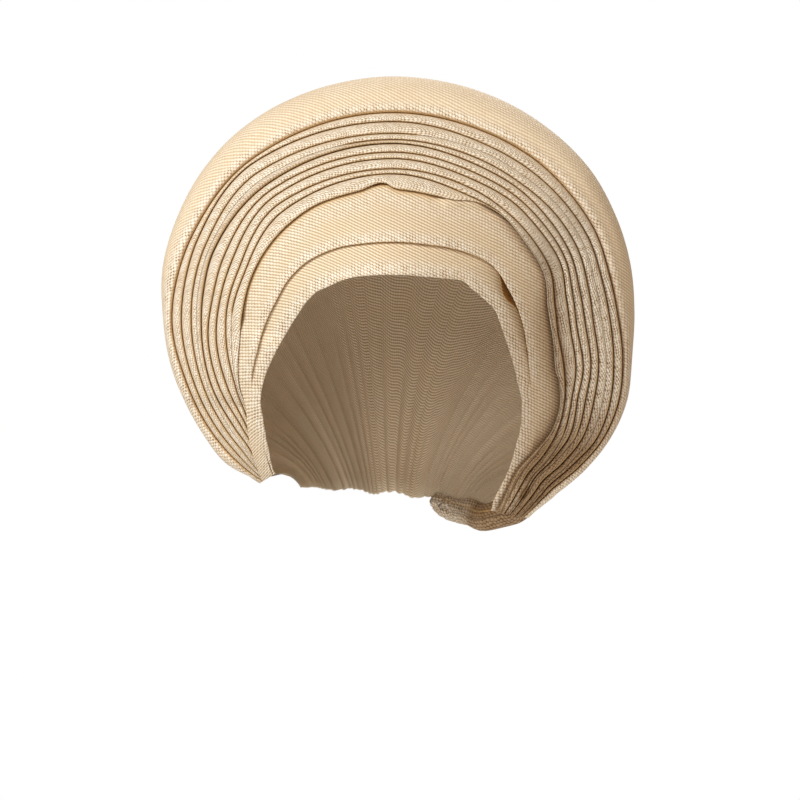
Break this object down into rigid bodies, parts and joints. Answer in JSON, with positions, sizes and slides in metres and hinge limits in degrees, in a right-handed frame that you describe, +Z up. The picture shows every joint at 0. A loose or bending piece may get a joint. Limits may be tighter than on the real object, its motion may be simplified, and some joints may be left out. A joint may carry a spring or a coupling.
{
  "type": "tied gele head tie",
  "caption": "Head tie of stiff woven cloth: wound bands over the brow, stacked pleats and a broad round brim, closed behind, tucked at the nape.",
  "frame": {"origin": "middle of the head opening, between the ears, where the head carries the tie", "axes": "+Z up, -Y towards the face, +X to the viewer's right"},
  "size_m": [0.2687, 0.1922, 0.2602],
  "materials": {
    "brow_band": "woven, cream",
    "over_band": "woven, cream",
    "pleated_fan": "woven, cream",
    "crown_drape": "woven, cream",
    "nape_knot": "woven, cream"
  },
  "bodies": {
    "root": {"brow_band": "brow_band", "over_band": "over_band", "pleated_fan": "pleated_fan", "crown_drape": "crown_drape", "nape_knot": "nape_knot"}
  },
  "joints": []
}
